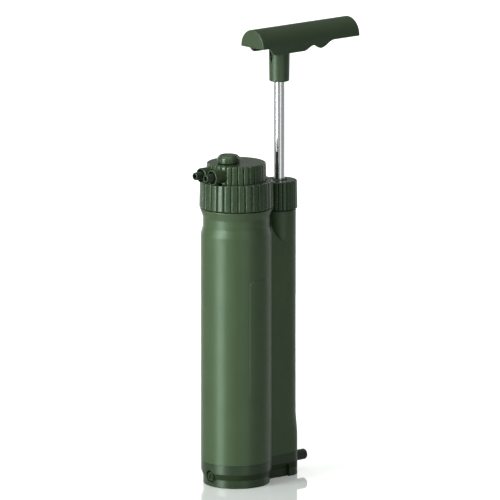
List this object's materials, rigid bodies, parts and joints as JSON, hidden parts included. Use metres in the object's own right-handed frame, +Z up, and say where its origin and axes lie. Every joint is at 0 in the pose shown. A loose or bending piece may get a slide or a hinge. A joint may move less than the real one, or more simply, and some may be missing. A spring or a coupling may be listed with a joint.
{
  "type": "pump water filter",
  "caption": "Hand-pumped camping water filter: a filter barrel and a pump barrel in one housing, screwed-on head with hose spigots, sliding rod with a half-round T-handle.",
  "frame": {"origin": "centre of the main barrel's foot, on the ground", "axes": "+Z up along the barrels, +X from the main barrel to the pump barrel, -Y towards the raised front panel"},
  "size_m": [0.1264, 0.0476, 0.2967],
  "materials": {
    "green_body": "army green, fine satin moulded surface",
    "green_base": "army green, fine satin moulded surface",
    "green_head": "army green, satin with fluted sides",
    "green_handle": "dark army green, satin",
    "port_plastic": "dark green, smooth",
    "rod_steel": "polished stainless steel",
    "brass": "turned, satin",
    "spring_steel": "drawn wire",
    "seal_rubber": "matt black",
    "piston_rubber": "matt red silicone",
    "natural_plastic": "natural white, unpainted",
    "clear_plastic": "clear moulded plastic",
    "filter_pad": "white felted fibre",
    "carbon": "black granular block",
    "fibre": "white hollow fibres"
  },
  "bodies": {
    "housing": {"housing": "green_body", "base_cap": "green_base", "inlet_spigot": "port_plastic", "drain_plug_seal": "seal_rubber", "cartridge_case": "clear_plastic", "inlet_screen": "natural_plastic", "prefilter_pad": "filter_pad", "carbon_core": "carbon", "middle_screen": "natural_plastic", "fibre_bundle": "fibre", "potting_disc": "clear_plastic", "cartridge_cap": "natural_plastic", "nozzle_o_ring": "seal_rubber", "inlet_valve_seat": "natural_plastic", "inlet_valve_cage": "natural_plastic", "inlet_valve_spring": "spring_steel", "transfer_valve_body": "natural_plastic", "transfer_valve_cage": "natural_plastic", "transfer_valve_spring": "spring_steel"},
    "head": {"outlet_head": "green_head", "head_o_ring": "seal_rubber", "outlet_spigot_front": "port_plastic", "outlet_spigot_rear": "port_plastic"},
    "collar": {"collar_ring": "green_head"},
    "vent": {"vent_knob": "green_head", "vent_spindle": "brass", "vent_o_ring": "seal_rubber"},
    "gland": {"rod_guide_bush": "natural_plastic", "rod_wiper": "seal_rubber"},
    "nut": {"gland_nut": "green_head"},
    "piston": {"piston": "port_plastic", "piston_seal": "piston_rubber"},
    "rod": {"pump_rod": "rod_steel", "piston_screw": "rod_steel", "t_handle": "green_handle", "handle_insert": "brass"},
    "inlet_ball": {"inlet_valve_ball": "rod_steel"},
    "transfer_ball": {"transfer_valve_ball": "rod_steel"},
    "drain": {"drain_plug": "green_base"}
  },
  "joints": [
    {"name": "rod_slide", "type": "slide", "parent": "housing", "child": "piston", "axis": [0, 0, 1], "range_m": [-0.064, 0]},
    {"name": "handle_turn", "type": "hinge", "parent": "piston", "child": "rod", "pos_m": [0.0368, 0, 0.27], "axis": [0, 0, 1], "continuous": true},
    {"name": "head_lift", "type": "slide", "parent": "housing", "child": "head", "axis": [0, 0, 1], "range_m": [0, 0.006]},
    {"name": "collar_turn", "type": "hinge", "parent": "head", "child": "collar", "pos_m": [0, 0, 0.191], "axis": [0, 0, 1], "range_deg": [0, 720]},
    {"name": "vent_turn", "type": "hinge", "parent": "head", "child": "vent", "pos_m": [-0.0065, 0, 0.215], "axis": [0, 0, 1], "range_deg": [0, 90]},
    {"name": "gland_lift", "type": "slide", "parent": "housing", "child": "gland", "axis": [0, 0, 1], "range_m": [0, 0.006]},
    {"name": "nut_turn", "type": "hinge", "parent": "gland", "child": "nut", "pos_m": [0.0368, 0, 0.186], "axis": [0, 0, 1], "range_deg": [0, 720]},
    {"name": "inlet_valve_open", "type": "slide", "parent": "housing", "child": "inlet_ball", "axis": [0, 0, 1], "range_m": [0, 0.0015], "stiffness_N_per_m": 40, "springref_m": -0.001, "deforming": ["inlet_valve_spring"]},
    {"name": "transfer_valve_open", "type": "slide", "parent": "housing", "child": "transfer_ball", "axis": [0, 0, 1], "range_m": [0, 0.0015], "stiffness_N_per_m": 40, "springref_m": -0.001, "deforming": ["transfer_valve_spring"]},
    {"name": "drain_turn", "type": "hinge", "parent": "housing", "child": "drain", "pos_m": [-0.0215, 0, 0.0069], "axis": [-1, 0, 0], "range_deg": [0, 90]}
  ],
  "couplings": [
    {"joint": "collar_turn", "follows": "head_lift", "rad_per_m": 2094.4},
    {"joint": "nut_turn", "follows": "gland_lift", "rad_per_m": 2094.4}
  ]
}
